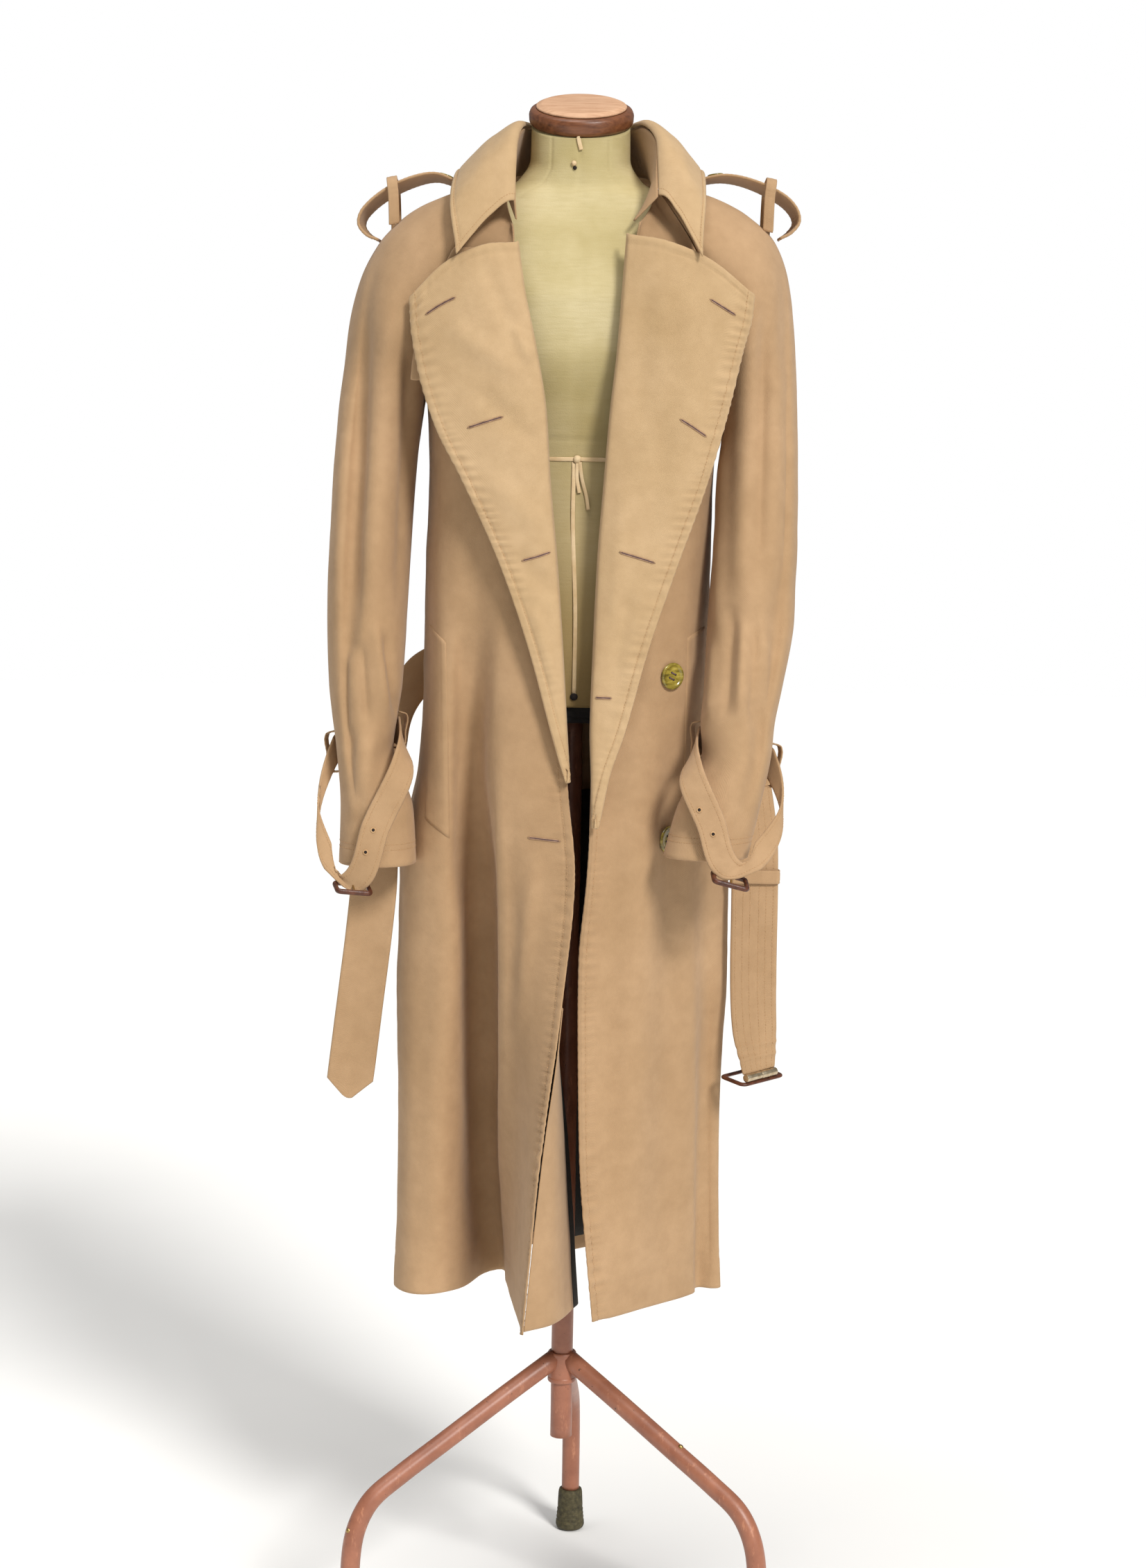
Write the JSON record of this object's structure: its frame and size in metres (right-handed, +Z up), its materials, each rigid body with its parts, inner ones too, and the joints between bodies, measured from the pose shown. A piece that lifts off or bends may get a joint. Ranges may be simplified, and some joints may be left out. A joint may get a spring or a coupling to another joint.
{
  "type": "trench coat on a dress form",
  "caption": "Open belted trench coat with raglan sleeves and turned-back lapels, hanging on a linen dress form on a tripod stand.",
  "frame": {"origin": "middle of the whole object's box in plan, on the floor under the feet", "axes": "+Z up, the coat's front faces -Y, the wearer's right side is at -X"},
  "size_m": [0.5296, 0.4928, 1.7545],
  "materials": {
    "coat_cloth": "matt cotton gabardine",
    "coat_lining": "plain dark lining",
    "buckle_leather": "satin leather cover",
    "buckle_metal": "champagne tone",
    "button_horn": "polished horn look",
    "form_linen": "natural linen",
    "form_band": "black cloth base",
    "cap_wood_dark": "satin mahogany",
    "cap_wood_pale": "pale sanded wood",
    "stand_paint": "satin copper-brown paint",
    "foot_rubber": "matt moulded"
  },
  "bodies": {
    "root": {"front_right": "coat_cloth", "front_left": "coat_cloth", "back_right": "coat_cloth", "back_left": "coat_cloth", "sleeve_front_right": "coat_cloth", "sleeve_front_left": "coat_cloth", "sleeve_back_right": "coat_cloth", "sleeve_back_left": "coat_cloth", "lapel_right": "coat_cloth", "lapel_left": "coat_cloth", "epaulette_right": "coat_cloth", "epaulette_left": "coat_cloth", "epaulette_loop_right": "coat_cloth", "epaulette_loop_left": "coat_cloth", "cuff_strap_right": "coat_cloth", "cuff_strap_left": "coat_cloth", "cuff_loop_inner_right": "coat_cloth", "cuff_loop_inner_left": "coat_cloth", "cuff_loop_outer_right": "coat_cloth", "cuff_loop_outer_left": "coat_cloth", "pocket_welt_right": "coat_cloth", "pocket_welt_left": "coat_cloth", "belt_loop_side_right": "coat_cloth", "belt_loop_side_left": "coat_cloth", "belt_loop_back_right": "coat_cloth", "belt_loop_back_left": "coat_cloth", "collar_stand": "coat_cloth", "collar_fall": "coat_cloth", "gun_flap": "coat_cloth", "facing_right": "coat_cloth", "belt": "coat_cloth", "belt_keeper": "coat_cloth", "lining_right": "coat_lining", "lining_back": "coat_lining", "belt_buckle": "buckle_leather", "cuff_buckle_right": "buckle_leather", "cuff_buckle_left": "buckle_leather", "belt_roller": "buckle_metal", "coat_button_upper": "button_horn", "coat_button_lower": "button_horn", "epaulette_button_right": "button_horn", "epaulette_button_left": "button_horn", "form_torso": "form_linen", "form_base": "form_band", "cap_ring": "cap_wood_dark", "cap_top": "cap_wood_pale", "post": "stand_paint", "hub": "stand_paint", "leg_back": "stand_paint", "leg_right": "stand_paint", "leg_left": "stand_paint", "foot_back": "foot_rubber", "foot_right": "foot_rubber", "foot_left": "foot_rubber"}
  },
  "joints": []
}
